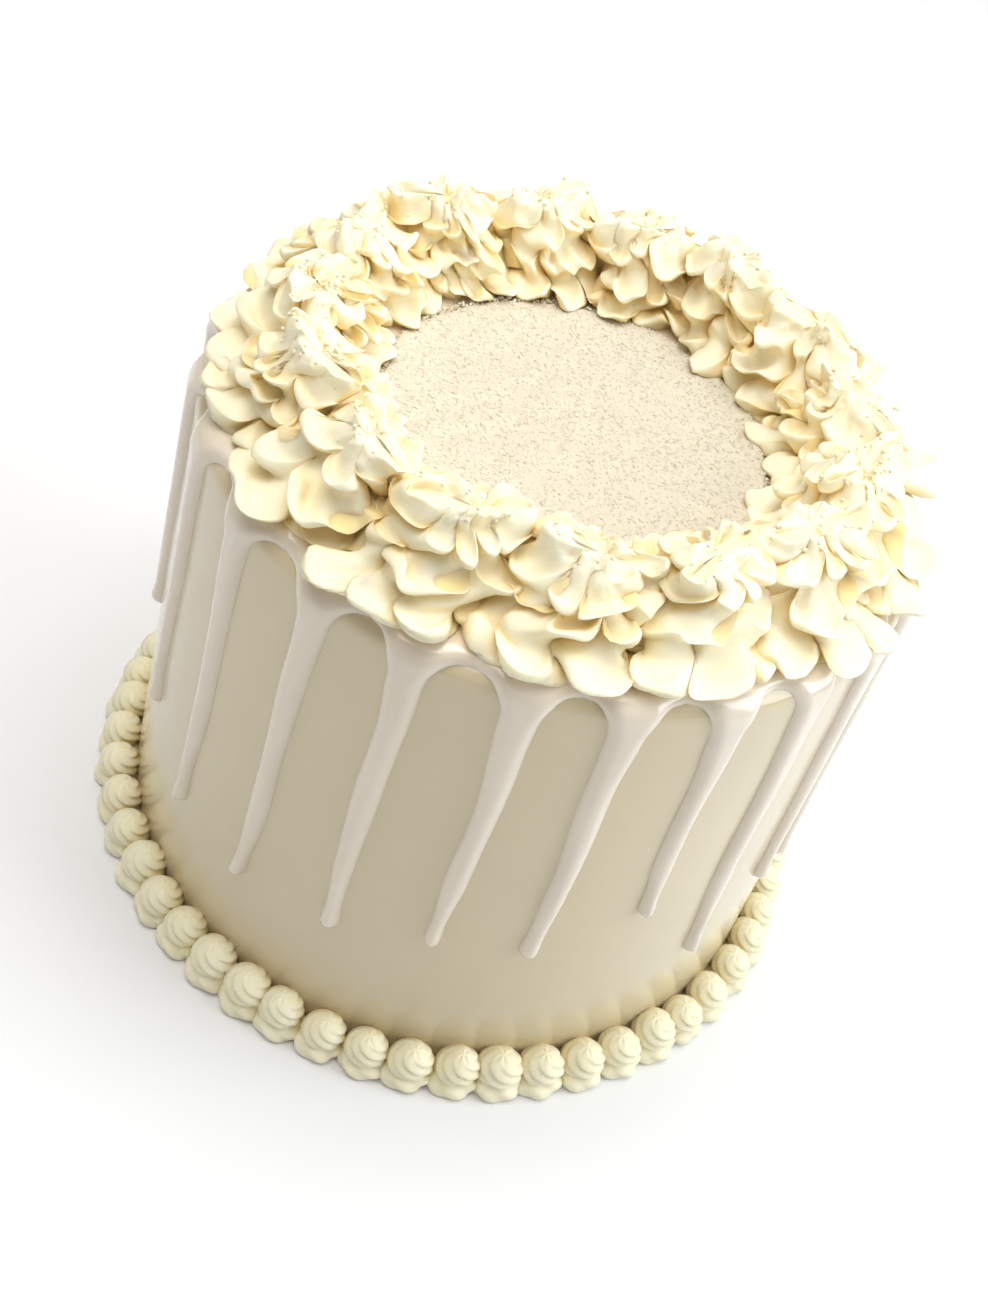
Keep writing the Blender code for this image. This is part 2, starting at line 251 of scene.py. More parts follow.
# Crumbs of buttercream on the crests
CRUMBS = 460
CRUMB_SIZES = (0.2, 0.5)
CRUMB_SPOTS = ((195.0, 16.0), (348.0, 14.0))
CRUMB_SPOT_SHARE = 0.45
CRUMB_CROWDING = 5.0
CRUMB_ROUGHNESS = 0.28
CRUMB_STRETCH = (0.7, 1.2)
CRUMB_SCATTER = 0.35
CRUMB_SUBDIVISIONS = 2
CRUMB_SEED = 61
# Rows of SWIRL_ROWS, counted from the crest, that crumbs lie on
CREST_KNOTS = 4

# Sugar in the middle
SUGAR_RADIUS = 42.0
SUGAR_EDGE_WAVE = 1.6
# Waves of the edge: radius of the ring they are read on, their size there and their seed
SUGAR_EDGE_RING = 30.0
SUGAR_EDGE_SIZE = 9.0
SUGAR_EDGE_SEED = 70
SUGAR_BOTTOM = GANACHE_TOP - 0.2
SUGAR_TOP = 125.1
# Height, size and seed of the bed's bumps, large and small
SUGAR_BUMPS = ((0.3, 3.0, 71), (0.15, 1.2, 72))
SUGAR_EDGE_DROP = 1.0
SUGAR_MIDDLE = 0.02
SUGAR_COLUMNS = 160
SUGAR_RINGS = 40
GRAINS = 13600
GRAIN_SIZES = (0.14, 0.3)
# How far the middles of grains lie above the bed, as a share of their least size
GRAIN_LIFTS = (-1.5, -0.2)
GRAIN_STRETCH = (0.7, 1.15)
GRAIN_ROUGHNESS = 0.12
GRAIN_SEED = 73
# How far past the bed's radius grains lie, and the band of stray grains round it
GRAIN_SPILL = 0.8
STRAY_GRAINS = 260
STRAY_BAND = (-1.0, 3.0)

# Bead border round the foot
BEADS = 52
BEAD_CENTRE = 84.2
BEAD_SIZES = (0.94, 1.05)
BEAD_COLUMNS = 44
BEAD_STEPS = 3
# How much wider beads are along the ring
BEAD_WIDE = 1.07
BEAD_RIDGES = 6
BEAD_RIDGE_DEPTH = 0.14
BEAD_TURN = 0.17
# How much further the ridges curl over the top of a bead, in radians, and between which heights
BEAD_CURL = 1.5
BEAD_WAIST = 4.4
BEAD_TIP = 10.5
BEAD_RIDGE_SHARPNESS = 1.4
# How much the ridges lift the top of a bead, and from what height
BEAD_LIFT = 0.12
BEAD_LIFT_START = 5.0
BEAD_LEAN_OUT = (-0.10, 0.02)
BEAD_LEAN_ALONG = (-0.10, 0.10)
BEAD_TURN_RANGE = (0.8, 1.3)
BEAD_JITTER = 0.006
BEAD_LUMPS = 0.1
BEAD_LUMP_SIZE = 2.5
BEAD_LUMP_SEED = 81
BEAD_PEAK = 0.05
BEAD_SEED = 52
# Radius, height and depth of the ridges from a bead's foot to its tip
BEAD_ROWS = (
    (4.6, 0.0, 0.3),
    (5.5, 0.7, 0.7),
    (5.9, 1.8, 0.9),
    (5.75, 3.0, 0.9),
    (5.0, 3.8, 0.7),
    (4.4, 4.4, 0.5),
    (4.8, 5.1, 0.8),
    (5.1, 6.1, 1.1),
    (4.9, 7.3, 1.3),
    (4.2, 8.5, 1.6),
    (3.1, 9.5, 1.9),
    (1.7, 10.2, 2.0),
    (0.5, 10.5, 0.6),
)

# Camera, as the photograph was taken
CAMERA_PLACE = (-20.73, -293.33, 340.32)
CAMERA_RIGHT = (0.9599, 0.1597, 0.2305)
CAMERA_UP = (-0.2759, 0.6847, 0.6746)
CAMERA_BACK = (-0.0500, -0.7112, 0.7013)
CAMERA_LENS = 47.23
CAMERA_SENSOR = 36.0

# Lights: name, place and aim in metres, size in metres, power in watts and colour
LIGHTS = (
    ("window", (1.2, -0.05, 0.7), (0.0, 0.0, 0.07), 1.0, 13.0, (0.9, 0.955, 1.0)),
    ("behind", (0.15, 0.4, 1.3), (0.0, 0.0, 0.1), 1.2, 10.0, (1.0, 0.98, 0.945)),
    ("above", (-0.3, -0.1, 1.5), (0.0, 0.0, 0.06), 1.2, 13.0, (1.0, 0.985, 0.955)),
)
SKY_COLOUR = (0.98, 0.985, 1.0)
SKY_STRENGTH = 0.24
FLOOR_SIDE = 6.0

# Colours: the two that each surface is mottled with, then a third: painted golden shade in the creases of the
# piped cream and beads, or patches on the side
PIPED_COLOURS = ((0.975, 0.895, 0.675), (0.97, 0.875, 0.615), (0.945, 0.71, 0.29))
BORDER_COLOURS = ((0.97, 0.895, 0.66), (0.96, 0.875, 0.61), (0.90, 0.70, 0.28))
SIDE_COLOURS = ((0.69, 0.58, 0.37), (0.66, 0.56, 0.36), (0.72, 0.61, 0.40))
GANACHE_COLOURS = ((0.835, 0.74, 0.60), (0.815, 0.715, 0.575))
# The crystals are lighter than the bed of the same sugar: a painted sparkle on the crystals and painted shade
# in the bed between them
BED_COLOURS = ((0.69, 0.64, 0.515), (0.67, 0.61, 0.48))
CRYSTAL_COLOURS = ((0.77, 0.71, 0.575), (0.73, 0.67, 0.53))
FLOOR_COLOURS = ((0.86, 0.865, 0.88), (0.83, 0.835, 0.85))
# How closed off a crease is where the painted shade starts, and how strong that painted shade is at
# FULL_DEPTH
PIPED_SHADE_DEPTH = (0.2, 0.8)
BORDER_SHADE_DEPTH = (0.3, 0.6)
FULL_DEPTH = 0.8
# Patches of the first two colours: scale of the noise, its detail and where the patches' edges lie
CREAM_PATCHES = (90.0, 3.0, 0.35)
SIDE_PATCHES = (22.0, 2.0, 0.3)
GANACHE_PATCHES = (45.0, 2.0, 0.35)
SUGAR_PATCHES = (1300.0, 1.0, 0.35)
FLOOR_PATCHES = (3.0, 2.0, 0.3)
# Spots of the side's third colour: scale, detail, where they start and are full, and their strength
SIDE_SPOTS = (110.0, 1.0, 0.3, 0.8, 0.25)
# Limits that the noise mostly lies between
NOISE_LOW = 0.3
NOISE_HIGH = 0.7
# Roughness: scale of the noise that it follows, least and greatest
CREAM_GLOSS = (240.0, 0.38, 0.55)
SIDE_GLOSS = (60.0, 0.19, 0.26)
GANACHE_GLOSS = (140.0, 0.14, 0.24)
BED_GLOSS = (900.0, 0.24, 0.56)
CRYSTAL_GLOSS = (900.0, 0.15, 0.35)
FLOOR_GLOSS = (6.0, 0.5, 0.65)
# Grain, coarse then fine: scale, detail and roughness of the noise, strength, and height in metres
CREAM_GRAIN = ((700.0, 4.0, 0.6, 0.22, 0.0003), (2600.0, 2.0, 0.5, 0.10, 0.0001))
SIDE_GRAIN = ((120.0, 3.0, 0.5, 0.12, 0.0005), (1100.0, 3.0, 0.5, 0.06, 0.0001))
GANACHE_GRAIN = ((75.0, 1.0, 0.5, 0.10, 0.0006),)
SUGAR_GRAIN = ((2400.0, 2.0, 0.5, 0.12, 0.0002),)
FLOOR_GRAIN = ((300.0, 3.0, 0.5, 0.02, 0.0002),)
# Light that passes into a surface: share, how far red, green and blue go, and the scale in metres
CREAM_SCATTER = (0.35, (1.0, 0.9, 0.72), 0.002)
GANACHE_SCATTER = (0.15, (1.0, 0.88, 0.75), 0.001)
SUGAR_SCATTER = (0.2, (1.0, 0.95, 0.85), 0.0004)
# Weight and roughness of the gloss coat
SIDE_COAT = (0.7, 0.12)
GANACHE_COAT = (0.8, 0.1)


def wall_radius(height):
    """Radius of the cake's side, which leans in a little towards the top."""
    return FOOT_RADIUS - DRAFT * height / CAKE_HEIGHT


def side_place(level, thick):
    """Radius and height of points a distance off the cake's side, which rolls over its shoulder."""
    start = CAKE_HEIGHT - SHOULDER
    low = np.minimum(level, start)
    swing = np.clip((level - start) / SHOULDER, 0.0, math.pi / 2.0)
    beyond = np.maximum(level - start - SHOULDER * math.pi / 2.0, 0.0)
    radius = wall_radius(low) - SHOULDER + (SHOULDER + thick) * np.cos(swing) - beyond
    return radius, low + (SHOULDER + thick) * np.sin(swing)


def smooth_step(value):
    value = np.clip(value, 0.0, 1.0)
    return value * value * (3.0 - 2.0 * value)


def lattice(x, y, z, seed):
    """A repeatable number from -1 to 1 for each whole-numbered point."""
    mixed = (x * 374761393 + y * 668265263 + z * 1442695041 + seed * 1274126177) & 0xFFFFFFFF
    mixed = ((mixed ^ (mixed >> 13)) * 1274126177) & 0xFFFFFFFF
    return ((mixed ^ (mixed >> 16)) & 0xFFFF) / 32767.5 - 1.0


def lumps(points, size, seed):
    """Smooth noise from -1 to 1 with lumps of a given size in mm."""
    place = np.asarray(points) / size
    whole = np.floor(place).astype(np.int64)
    part = place - whole
    part = part * part * (3.0 - 2.0 * part)
    total = 0.0
    for corner in range(8):
        step = np.array([corner & 1, (corner >> 1) & 1, (corner >> 2) & 1])
        weight = np.prod(np.where(step == 1, part, 1.0 - part), axis=-1)
        node = whole + step
        total = total + weight * lattice(node[..., 0], node[..., 1], node[..., 2], seed)
    return total


def spline(rows, steps):
    """Rows set between the given ones on a smooth curve through them."""
    knots = np.array(rows)
    last = len(knots) - 1
    place = np.linspace(0.0, last, last * steps + 1)
    low = np.clip(place.astype(int), 0, last - 1)
    part = (place - low)[:, None]
    before, here = knots[np.clip(low - 1, 0, last)], knots[low]
    there, after = knots[low + 1], knots[np.clip(low + 2, 0, last)]
    leave, arrive = (there - before) * 0.5, (after - here) * 0.5
    return ((2 * part**3 - 3 * part**2 + 1) * here + (part**3 - 2 * part**2 + part) * leave
            + (3 * part**2 - 2 * part**3) * there + (part**3 - part**2) * arrive)


def grid_faces(rows, columns, start=0):
    """Quads of a grid of rows by columns of points, closed round."""
    row = np.arange(rows - 1)[:, None]
    column = np.arange(columns)[None, :]
    after = (column + 1) % columns
    quads = np.stack([row * columns + column, row * columns + after,
                      (row + 1) * columns + after, (row + 1) * columns + column], -1)
    return (quads.reshape(-1, 4) + start).tolist()


def grid_normals(points):
    """Outward directions at the points of a closed grid."""
    along = np.roll(points, -1, axis=1) - np.roll(points, 1, axis=1)
    up = np.gradient(points, axis=0)
    normal = np.cross(along, up)
    return normal / np.maximum(np.linalg.norm(normal, axis=-1, keepdims=True), 1e-9)


def add_piece(name, points, faces, surface, smooth=True):
    """Make a piece from points in mm and ride it on the root body."""
    mesh = bpy.data.meshes.new(name)
    mesh.from_pydata((np.asarray(points) * MM).tolist(), [], faces)
    mesh.update()
    shape = bmesh.new()
    shape.from_mesh(mesh)
    bmesh.ops.recalc_face_normals(shape, faces=shape.faces)
    shape.to_mesh(mesh)
    shape.free()
    if smooth:
        mesh.shade_smooth()
    mesh.materials.append(surface)
    piece = bpy.data.objects.new(name, mesh)
    bpy.context.scene.collection.objects.link(piece)
    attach(piece, "root")
    return piece


def mesh_array(source, key, width, kind=np.float64):
    values = np.zeros(len(source) * width, dtype=kind)
    source.foreach_get(key, values)
    return values.reshape(-1, width)


def mark_hollows_for_shade(pieces, others, reach):
    """Store 0 to 1 at each point of the pieces for how much of its outlook is closed off nearby; this sets
    the painted shade in creases.
    """
    every, sides, used = [], [], 0
    for item in pieces + others:
        place = mesh_array(item.data.vertices, "co", 3)
        every.append(place)
        item.data.calc_loop_triangles()
        sides.append(mesh_array(item.data.loop_triangles, "vertices", 3, np.int32) + used)
        used += len(place)
    tree = BVHTree.FromPolygons(np.concatenate(every).tolist(), np.concatenate(sides).tolist())
    spread = []
    for ray in range(RAYS):
        up = math.sqrt((ray + 0.5) / RAYS)
        side = math.sqrt(1.0 - up * up)
        turn = ray * GOLDEN_TURN
        spread.append((side * math.cos(turn), side * math.sin(turn), up))
    spread = np.array(spread)
    for item in pieces:
        mesh = item.data
        place = mesh_array(mesh.vertices, "co", 3)
        normal = mesh_array(mesh.vertex_normals, "vector", 3)
        helper = np.where(np.abs(normal[:, 2:]) > STEEP, [[1.0, 0.0, 0.0]], [[0.0, 0.0, 1.0]])
        first = np.cross(normal, helper)
        first /= np.linalg.norm(first, axis=1, keepdims=True)
        second = np.cross(normal, first)
        aims = (spread[None, :, :1] * first[:, None] + spread[None, :, 1:2] * second[:, None]
                + spread[None, :, 2:] * normal[:, None])
        starts = (place + normal * RAY_START).tolist()
        closed = np.zeros(len(place))
        for number, (start, ways) in enumerate(zip(starts, aims.tolist())):
            met = 0.0
            for way in ways:
                distance = tree.ray_cast(start, way, reach)[3]
                if distance is not None:
                    met += 1.0 - FAR_LOSS * distance / reach
            closed[number] = met / RAYS
        ends = mesh_array(mesh.edges, "vertices", 2, np.int32)
        one = np.concatenate([ends[:, 0], ends[:, 1]])
        other = np.concatenate([ends[:, 1], ends[:, 0]])
        degree = np.bincount(one, minlength=len(place)) + 1.0
        for _ in range(SMOOTH_ROUNDS):
            closed = (closed + np.bincount(one, weights=closed[other], minlength=len(place))) / degree
        mark = mesh.attributes.new("hollow", "FLOAT", "POINT")
        mark.data.foreach_set("value", np.clip(closed, 0.0, 1.0).astype(np.float32))


class Nodes:
    """Short calls for building a material's nodes."""

    def __init__(self, name):
        self.material = bpy.data.materials.new(name)
        self.material.use_nodes = True
        self.tree = self.material.node_tree
        self.shader = self.tree.nodes["Principled BSDF"]
        self.place = self.add("ShaderNodeTexCoord").outputs["Object"]

    def add(self, kind, **settings):
        node = self.tree.nodes.new(kind)
        for key, value in settings.items():
            setattr(node, key, value)
        return node

    def join(self, output, target):
        self.tree.links.new(output, target)

    def noise(self, scale, detail=3.0, roughness=0.5):
        node = self.add("ShaderNodeTexNoise")
        node.inputs["Scale"].default_value = scale
        node.inputs["Detail"].default_value = detail
        node.inputs["Roughness"].default_value = roughness
        self.join(self.place, node.inputs["Vector"])
        return node.outputs["Fac"]

    def spread(self, value, low, high, to_low, to_high):
        node = self.add("ShaderNodeMapRange")
        node.inputs["From Min"].default_value = low
        node.inputs["From Max"].default_value = high
        node.inputs["To Min"].default_value = to_low
        node.inputs["To Max"].default_value = to_high
        self.join(value, node.inputs["Value"])
        return node.outputs["Result"]

    def mix(self, amount, first, second):
        node = self.add("ShaderNodeMix", data_type="RGBA")
        self.join(amount, node.inputs[0])
        for colour, socket in ((first, node.inputs[6]), (second, node.inputs[7])):
            if isinstance(colour, tuple):
                socket.default_value = (*colour, 1.0)
            else:
                self.join(colour, socket)
        return node.outputs[2]

    def mottle(self, patches, first, second):
        """Two colours in soft patches."""
        scale, detail, edge = patches
        return self.mix(self.spread(self.noise(scale, detail), edge, 1.0 - edge, 0.0, 1.0), first, second)

    def vary(self, scale, low, high):
        """A value that wanders between two limits."""
        return self.spread(self.noise(scale), NOISE_LOW, NOISE_HIGH, low, high)

    def grain(self, rows):
        """Fine relief, one bump on another."""
        normal = None
        for scale, detail, roughness, strength, height in rows:
            normal = self.bump(self.noise(scale, detail, roughness), strength, height, normal)
        return normal

    def hollow(self):
        return self.add("ShaderNodeAttribute", attribute_name="hollow").outputs["Fac"]

    def bump(self, height, strength, distance, before=None):
        node = self.add("ShaderNodeBump")
        node.inputs["Strength"].default_value = strength
        node.inputs["Distance"].default_value = distance
        self.join(height, node.inputs["Height"])
        if before is not None:
            self.join(before, node.inputs["Normal"])
        return node.outputs["Normal"]

    def finish(self, colour, roughness, normal, coat=None, scatter=None):
        self.join(colour, self.shader.inputs["Base Color"])
        self.join(roughness, self.shader.inputs["Roughness"])
        self.join(normal, self.shader.inputs["Normal"])
        if coat is not None:
            self.shader.inputs["Coat Weight"].default_value = coat[0]
            self.shader.inputs["Coat Roughness"].default_value = coat[1]
        if scatter is not None:
            self.shader.inputs["Subsurface Weight"].default_value = scatter[0]
            self.shader.inputs["Subsurface Radius"].default_value = scatter[1]
            self.shader.inputs["Subsurface Scale"].default_value = scatter[2]
        return self.material


def cream_material(name, colours, depth):
    """Piped buttercream: pale, a little mottled, with painted golden shade down in its creases, and a fine
    grain.
    """
    nodes = Nodes(name)
    light, shade, painted_crease_shade = colours
    start, share = depth
    colour = nodes.mottle(CREAM_PATCHES, light, shade)
    # Painted shade: the golden colour is mixed in where a point is closed off by nearby cream
    colour = nodes.mix(nodes.spread(nodes.hollow(), start, FULL_DEPTH, 0.0, share), colour, painted_crease_shade)
    return nodes.finish(colour, nodes.vary(*CREAM_GLOSS), nodes.grain(CREAM_GRAIN), scatter=CREAM_SCATTER)


def wall_material():
    """Smoothed buttercream: satin, with soft patches where the knife passed and a fine grain."""
    nodes = Nodes("side_buttercream")
    light, shade, spot = SIDE_COLOURS
    scale, detail, start, full, strength = SIDE_SPOTS
    spots = nodes.spread(nodes.noise(scale, detail), start, full, 0.0, strength)
    colour = nodes.mix(spots, nodes.mottle(SIDE_PATCHES, light, shade), spot)
    return nodes.finish(colour, nodes.vary(*SIDE_GLOSS), nodes.grain(SIDE_GRAIN), coat=SIDE_COAT)


def ganache_material():
    """Poured white ganache: glossy and nearly white, slightly rosy in the shade."""
    nodes = Nodes("ganache")
    colour = nodes.mottle(GANACHE_PATCHES, *GANACHE_COLOURS)
    return nodes.finish(colour, nodes.vary(*GANACHE_GLOSS), nodes.grain(GANACHE_GRAIN), coat=GANACHE_COAT,
                        scatter=GANACHE_SCATTER)


def sugar_material(name, colours, gloss):
    """Sugar: pale, with light passing a little way in, and each grain a little different."""
    nodes = Nodes(name)
    colour = nodes.mottle(SUGAR_PATCHES, *colours)
    return nodes.finish(colour, nodes.vary(*gloss), nodes.grain(SUGAR_GRAIN), scatter=SUGAR_SCATTER)


def build_wall():
    """The cake's smoothed side with its rounded shoulder and foot."""
    top = wall_radius(CAKE_HEIGHT)
    shoulder = CAKE_HEIGHT - SHOULDER
    outline = [(FOOT_RADIUS - FOOT_ROUND, 0.0), (FOOT_RADIUS, FOOT_ROUND)]
    for height in np.linspace(FOOT_ROUND, shoulder, WALL_ROWS)[1:]:
        outline.append((wall_radius(height), height))
    for turn in np.linspace(0.0, math.pi / 2.0, SHOULDER_ROWS + 1)[1:]:
        outline.append((top - SHOULDER + SHOULDER * math.cos(turn), shoulder + SHOULDER * math.sin(turn)))
    outline.append((top * CAKE_TOP_SHARE, CAKE_HEIGHT))
    around = np.arange(WALL_COLUMNS) * 2.0 * math.pi / WALL_COLUMNS
    radius = np.array([out for out, _ in outline])[:, None]
    height = np.array([up for _, up in outline])[:, None]
    points = np.stack([radius * np.cos(around), radius * np.sin(around), height + np.zeros(WALL_COLUMNS)], -1)
    bend = WALL_WAVE * lumps(points, WALL_WAVE_SIZE, WALL_WAVE_SEED)
    bend += WALL_LINE * lumps(points * np.array(WALL_LINE_STRETCH), WALL_LINE_SIZE, WALL_LINE_SEED)
    bend *= smooth_step(height / WALL_WAVE_START) * (height < CAKE_HEIGHT - TINY)
    grown = 1.0 + bend / np.maximum(radius, 1.0)
    points[..., 0] *= grown
    points[..., 1] *= grown
    rows = len(outline)
    faces = grid_faces(rows, WALL_COLUMNS)
    faces.append(list(range(WALL_COLUMNS)))
    faces.append(list(range((rows - 1) * WALL_COLUMNS, rows * WALL_COLUMNS)))
    piece = add_piece("smoothed_side", points.reshape(-1, 3), faces, wall_material())
    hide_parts("cake_body")
    return piece


def all_drips():
    """Angle, tip height and drift of every drip: the front ones, then the back ones spread evenly."""
    chance = random.Random(DRIP_SEED)
    first = FRONT_DRIPS[-1][0]
    span = FRONT_DRIPS[0][0] + 360.0 - first
    drips = list(FRONT_DRIPS)
    for step in range(1, BACK_DRIPS + 1):
        angle = first + span * step / (BACK_DRIPS + 1)
        angle += chance.uniform(-BACK_ANGLE_JITTER, BACK_ANGLE_JITTER)
        drips.append((angle, chance.uniform(*BACK_TIP_RANGE), chance.uniform(-BACK_DRIFT, BACK_DRIFT)))
    return drips


def drip_edge(width, tip, number):
    """Half width and level down one side of a drip: the arch under the rim, the run and the tip."""
    swing = np.linspace(0.0, math.pi / 2.0, ARCH_ROWS)
    arch_width = width - (width - ARCH_WIDTH) * np.sin(swing) ** ARCH_POWER
    arch_level = ARCH_LEVEL - ARCH_DROP * (1.0 - np.abs(np.cos(swing)) ** ARCH_POWER)
    start, end = ARCH_LEVEL - ARCH_DROP, tip + TIP_ROUND
    run_level = np.linspace(start, end, DRIP_ROWS)[1:]
    shares, widths = zip(*DRIP_WIDTHS)
    run_width = np.interp((start - run_level) / (start - end), shares, widths)
    fade = smooth_step((start - run_level) / WIDTH_WAVE_START)
    size = random.Random(DRIP_SEED + int(2 * number)).uniform(*DRIP_SIZES)
    wave = WIDTH_WAVE * np.sin(run_level * WIDTH_WAVE_RATE + number * WIDTH_WAVE_STEP)
    run_width *= 1.0 + fade * (wave + size - 1.0)
    run_width *= 1.0 + TIP_SWELL * smooth_step(1.0 - (run_level - end) / TIP_SWELL_REACH)
    fall = np.sin(np.linspace(0.0, math.pi / 2.0, TIP_ROWS + 1))[1:]
    tip_width = run_width[-1] * np.sqrt(np.maximum(1.0 - fall * fall, TIP_END ** 2))
    tip_level = end - TIP_ROUND * fall
    return (np.concatenate([arch_width, run_width, tip_width]),
            np.concatenate([arch_level, run_level, tip_level]))


def edge_distance(across, level, edges):
    """How far points on the side lie from the nearest edge of the ganache."""
    best = np.full(across.shape, np.inf)
    for edge_across, edge_level in edges:
        start = np.stack([edge_across, edge_level], -1)[:-1]
        run = np.stack([edge_across, edge_level], -1)[1:] - start
        apart = np.stack([across, level], -1)[..., None, :] - start
        length = np.maximum((run * run).sum(axis=-1), 1e-9)
        share = np.clip((apart * run).sum(axis=-1) / length, 0.0, 1.0)
        gap = np.linalg.norm(apart - share[..., None] * run, axis=-1)
        best = np.minimum(best, gap.min(axis=-1))
    return best


def rounded(distance, reach):
    """Share of full thickness at a distance inside an edge, like the side of a bead of liquid."""
    inside = np.clip(distance / reach, 0.0, 1.0)
    return (1.0 - (1.0 - inside) ** 2) ** EDGE_POWER


def round_the_cake(turn, level, thick):
    radius, height = side_place(level, thick)
    return np.stack([radius * np.cos(turn), radius * np.sin(turn), height], -1)


def build_ganache():
    """The poured cap and its drips: each drip owns a slice of the rim and narrows as it runs down."""
    drips = all_drips()
    count = len(drips)
    shares = np.sin(np.linspace(-math.pi / 2.0, math.pi / 2.0, DRIP_COLUMNS + 1))
    rows = ARCH_ROWS + DRIP_ROWS - 1 + TIP_ROWS
    outer_grids, inner_grids, rims, inner_rims = [], [], [], []
    rim_levels = np.linspace(ARCH_LEVEL, RIM_TOP, RIM_ROWS + 1)[:0:-1]
    for number, (angle, tip, drift) in enumerate(drips):
        previous = drips[number - 1][0]
        following = drips[(number + 1) % count][0]
        left = math.radians(((angle - previous) % 360.0) / 2.0) * FOOT_RADIUS
        right = math.radians(((following - angle) % 360.0) / 2.0) * FOOT_RADIUS
        left_edge, body = drip_edge(left, tip, number)
        right_edge, _ = drip_edge(right, tip, number + 0.5)
        edges = [(side, body) for side in (-left_edge, right_edge)]
        edges += [(side, body) for side in (left_edge - 2.0 * left, 2.0 * right - right_edge)]
        level = np.concatenate([rim_levels, body])
        left_width = np.concatenate([np.full(RIM_ROWS, left), left_edge])
        right_width = np.concatenate([np.full(RIM_ROWS, right), right_edge])
        width = np.where(shares[None, :] < 0.0, left_width[:, None], right_width[:, None])
        across = shares[None, :] * width
        level = np.repeat(level[:, None], len(shares), axis=1)
        near = edge_distance(across, level, edges)
        full = COAT * (1.0 + TIP_SWELL * smooth_step(1.0 - (level - tip - TIP_ROUND) / TIP_SWELL_REACH))
        thick = (full + SUNK) * rounded(near, np.clip(width, NARROWEST, EDGE_ROUND)) - SUNK
        drop = np.clip((ARCH_LEVEL - level) / (ARCH_LEVEL - tip), 0.0, 1.0)
        shift = drift * drop ** DRIFT_POWER
        sway = np.sin(level * MEANDER_RATE + number * MEANDER_STEP)
        shift += MEANDER * smooth_step(drop * MEANDER_START) * sway
        turn = math.radians(angle) + (across + shift) / FOOT_RADIUS
        outside = round_the_cake(turn, level, thick)
        inside = round_the_cake(turn, level, np.full_like(thick, -2.0 * SUNK))
        outer_grids.append(outside[RIM_ROWS:])
        inner_grids.append(inside[RIM_ROWS:])
        rims.append(outside[:RIM_ROWS, :-1])
        inner_rims.append(inside[:RIM_ROWS, :-1])
    points, faces = [], []
    # The rim and the top, one closed band of points round the whole cake
    band = np.concatenate(rims, axis=1)[::-1]
    round_count = band.shape[1]
    flats = []
    for radius in CAP_RINGS:
        scale = radius / np.hypot(band[-1, :, 0], band[-1, :, 1])
        flat = band[-1] * scale[:, None]
        flat[:, 2] = GANACHE_TOP
        flats.append(flat)
    starts = np.concatenate([grid[0, :-1] for grid in outer_grids])[None]
    band = np.concatenate([starts, band, np.array(flats)])
    under = []
    for flat in flats[::-1]:
        low = flat.copy()
        low[:, 2] = CAKE_HEIGHT - 2.0 * SUNK
        under.append(low)
    slope = np.concatenate([grid[0, :-1] for grid in inner_grids])
    band = np.concatenate([band, np.array(under), np.concatenate(inner_rims, axis=1), slope[None]])
    points.append(band.reshape(-1, 3))
    faces += grid_faces(band.shape[0], round_count)
    used = band.shape[0] * round_count
    last_ring = (band.shape[0] - 1) * round_count
    # Each drip hangs from the band's first ring outside and its last ring inside
    for number in range(count):
        first = number * DRIP_COLUMNS
        tops = []
        for ring_start in (0, last_ring):
            tops.append([ring_start + (first + step) % round_count for step in range(DRIP_COLUMNS + 1)])
        sheets = []
        for top, grid in zip(tops, (outer_grids[number], inner_grids[number])):
            body = grid[1:]
            points.append(body.reshape(-1, 3))
            index = used + np.arange(body.shape[0] * body.shape[1]).reshape(body.shape[:2])
            used += body.shape[0] * body.shape[1]
            sheets.append([top] + index.tolist())
        for outside, sheet in ((True, sheets[0]), (False, sheets[1])):
            for upper, lower in zip(sheet, sheet[1:]):
                for step in range(DRIP_COLUMNS):
                    quad = [upper[step], lower[step], lower[step + 1], upper[step + 1]]
                    faces.append(quad if outside else quad[::-1])
        front, back = sheets
        for row in range(rows - 1):
            faces.append([front[row][0], back[row][0], back[row + 1][0], front[row + 1][0]])
            faces.append([front[row][-1], front[row + 1][-1], back[row + 1][-1], back[row][-1]])
        for step in range(DRIP_COLUMNS):
            faces.append([front[-1][step], back[-1][step], back[-1][step + 1], front[-1][step + 1]])
    # The flat middle of the cap, above and below
    top_ring = (len(CAP_RINGS) + RIM_ROWS) * round_count
    faces.append(list(range(top_ring, top_ring + round_count)))
    low_ring = top_ring + round_count
    faces = [face for face in faces if not bridges(face, top_ring, low_ring, round_count)]
    faces.append(list(range(low_ring, low_ring + round_count)))
    piece = add_piece("poured_ganache", np.concatenate(points), faces, ganache_material())
    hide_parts("ganache_drip")
    return piece


def bridges(face, top_ring, low_ring, round_count):
    """True for the faces that would join the cap's two flat middles."""
    if len(face) != 4:
        return False
    on_top = sum(top_ring <= index < top_ring + round_count for index in face)
    below = sum(low_ring <= index < low_ring + round_count for index in face)
    return on_top == 2 and below == 2


def petal_tier(pattern, chance):
    """One tier of petals: the pattern all tiers share, and each petal's size, hang and lean."""
    size = np.array([chance.uniform(*PETAL_SIZES) for _ in range(LOBES)])
    hang = np.array([chance.uniform(*PETAL_HANG) for _ in range(LOBES)])
    side = chance.choice((-1.0, 1.0)) * 2.0 * math.pi / LOBES
    lean = np.array([side * chance.uniform(*PETAL_LEAN) for _ in range(LOBES)])
    return pattern, (size, hang, lean)


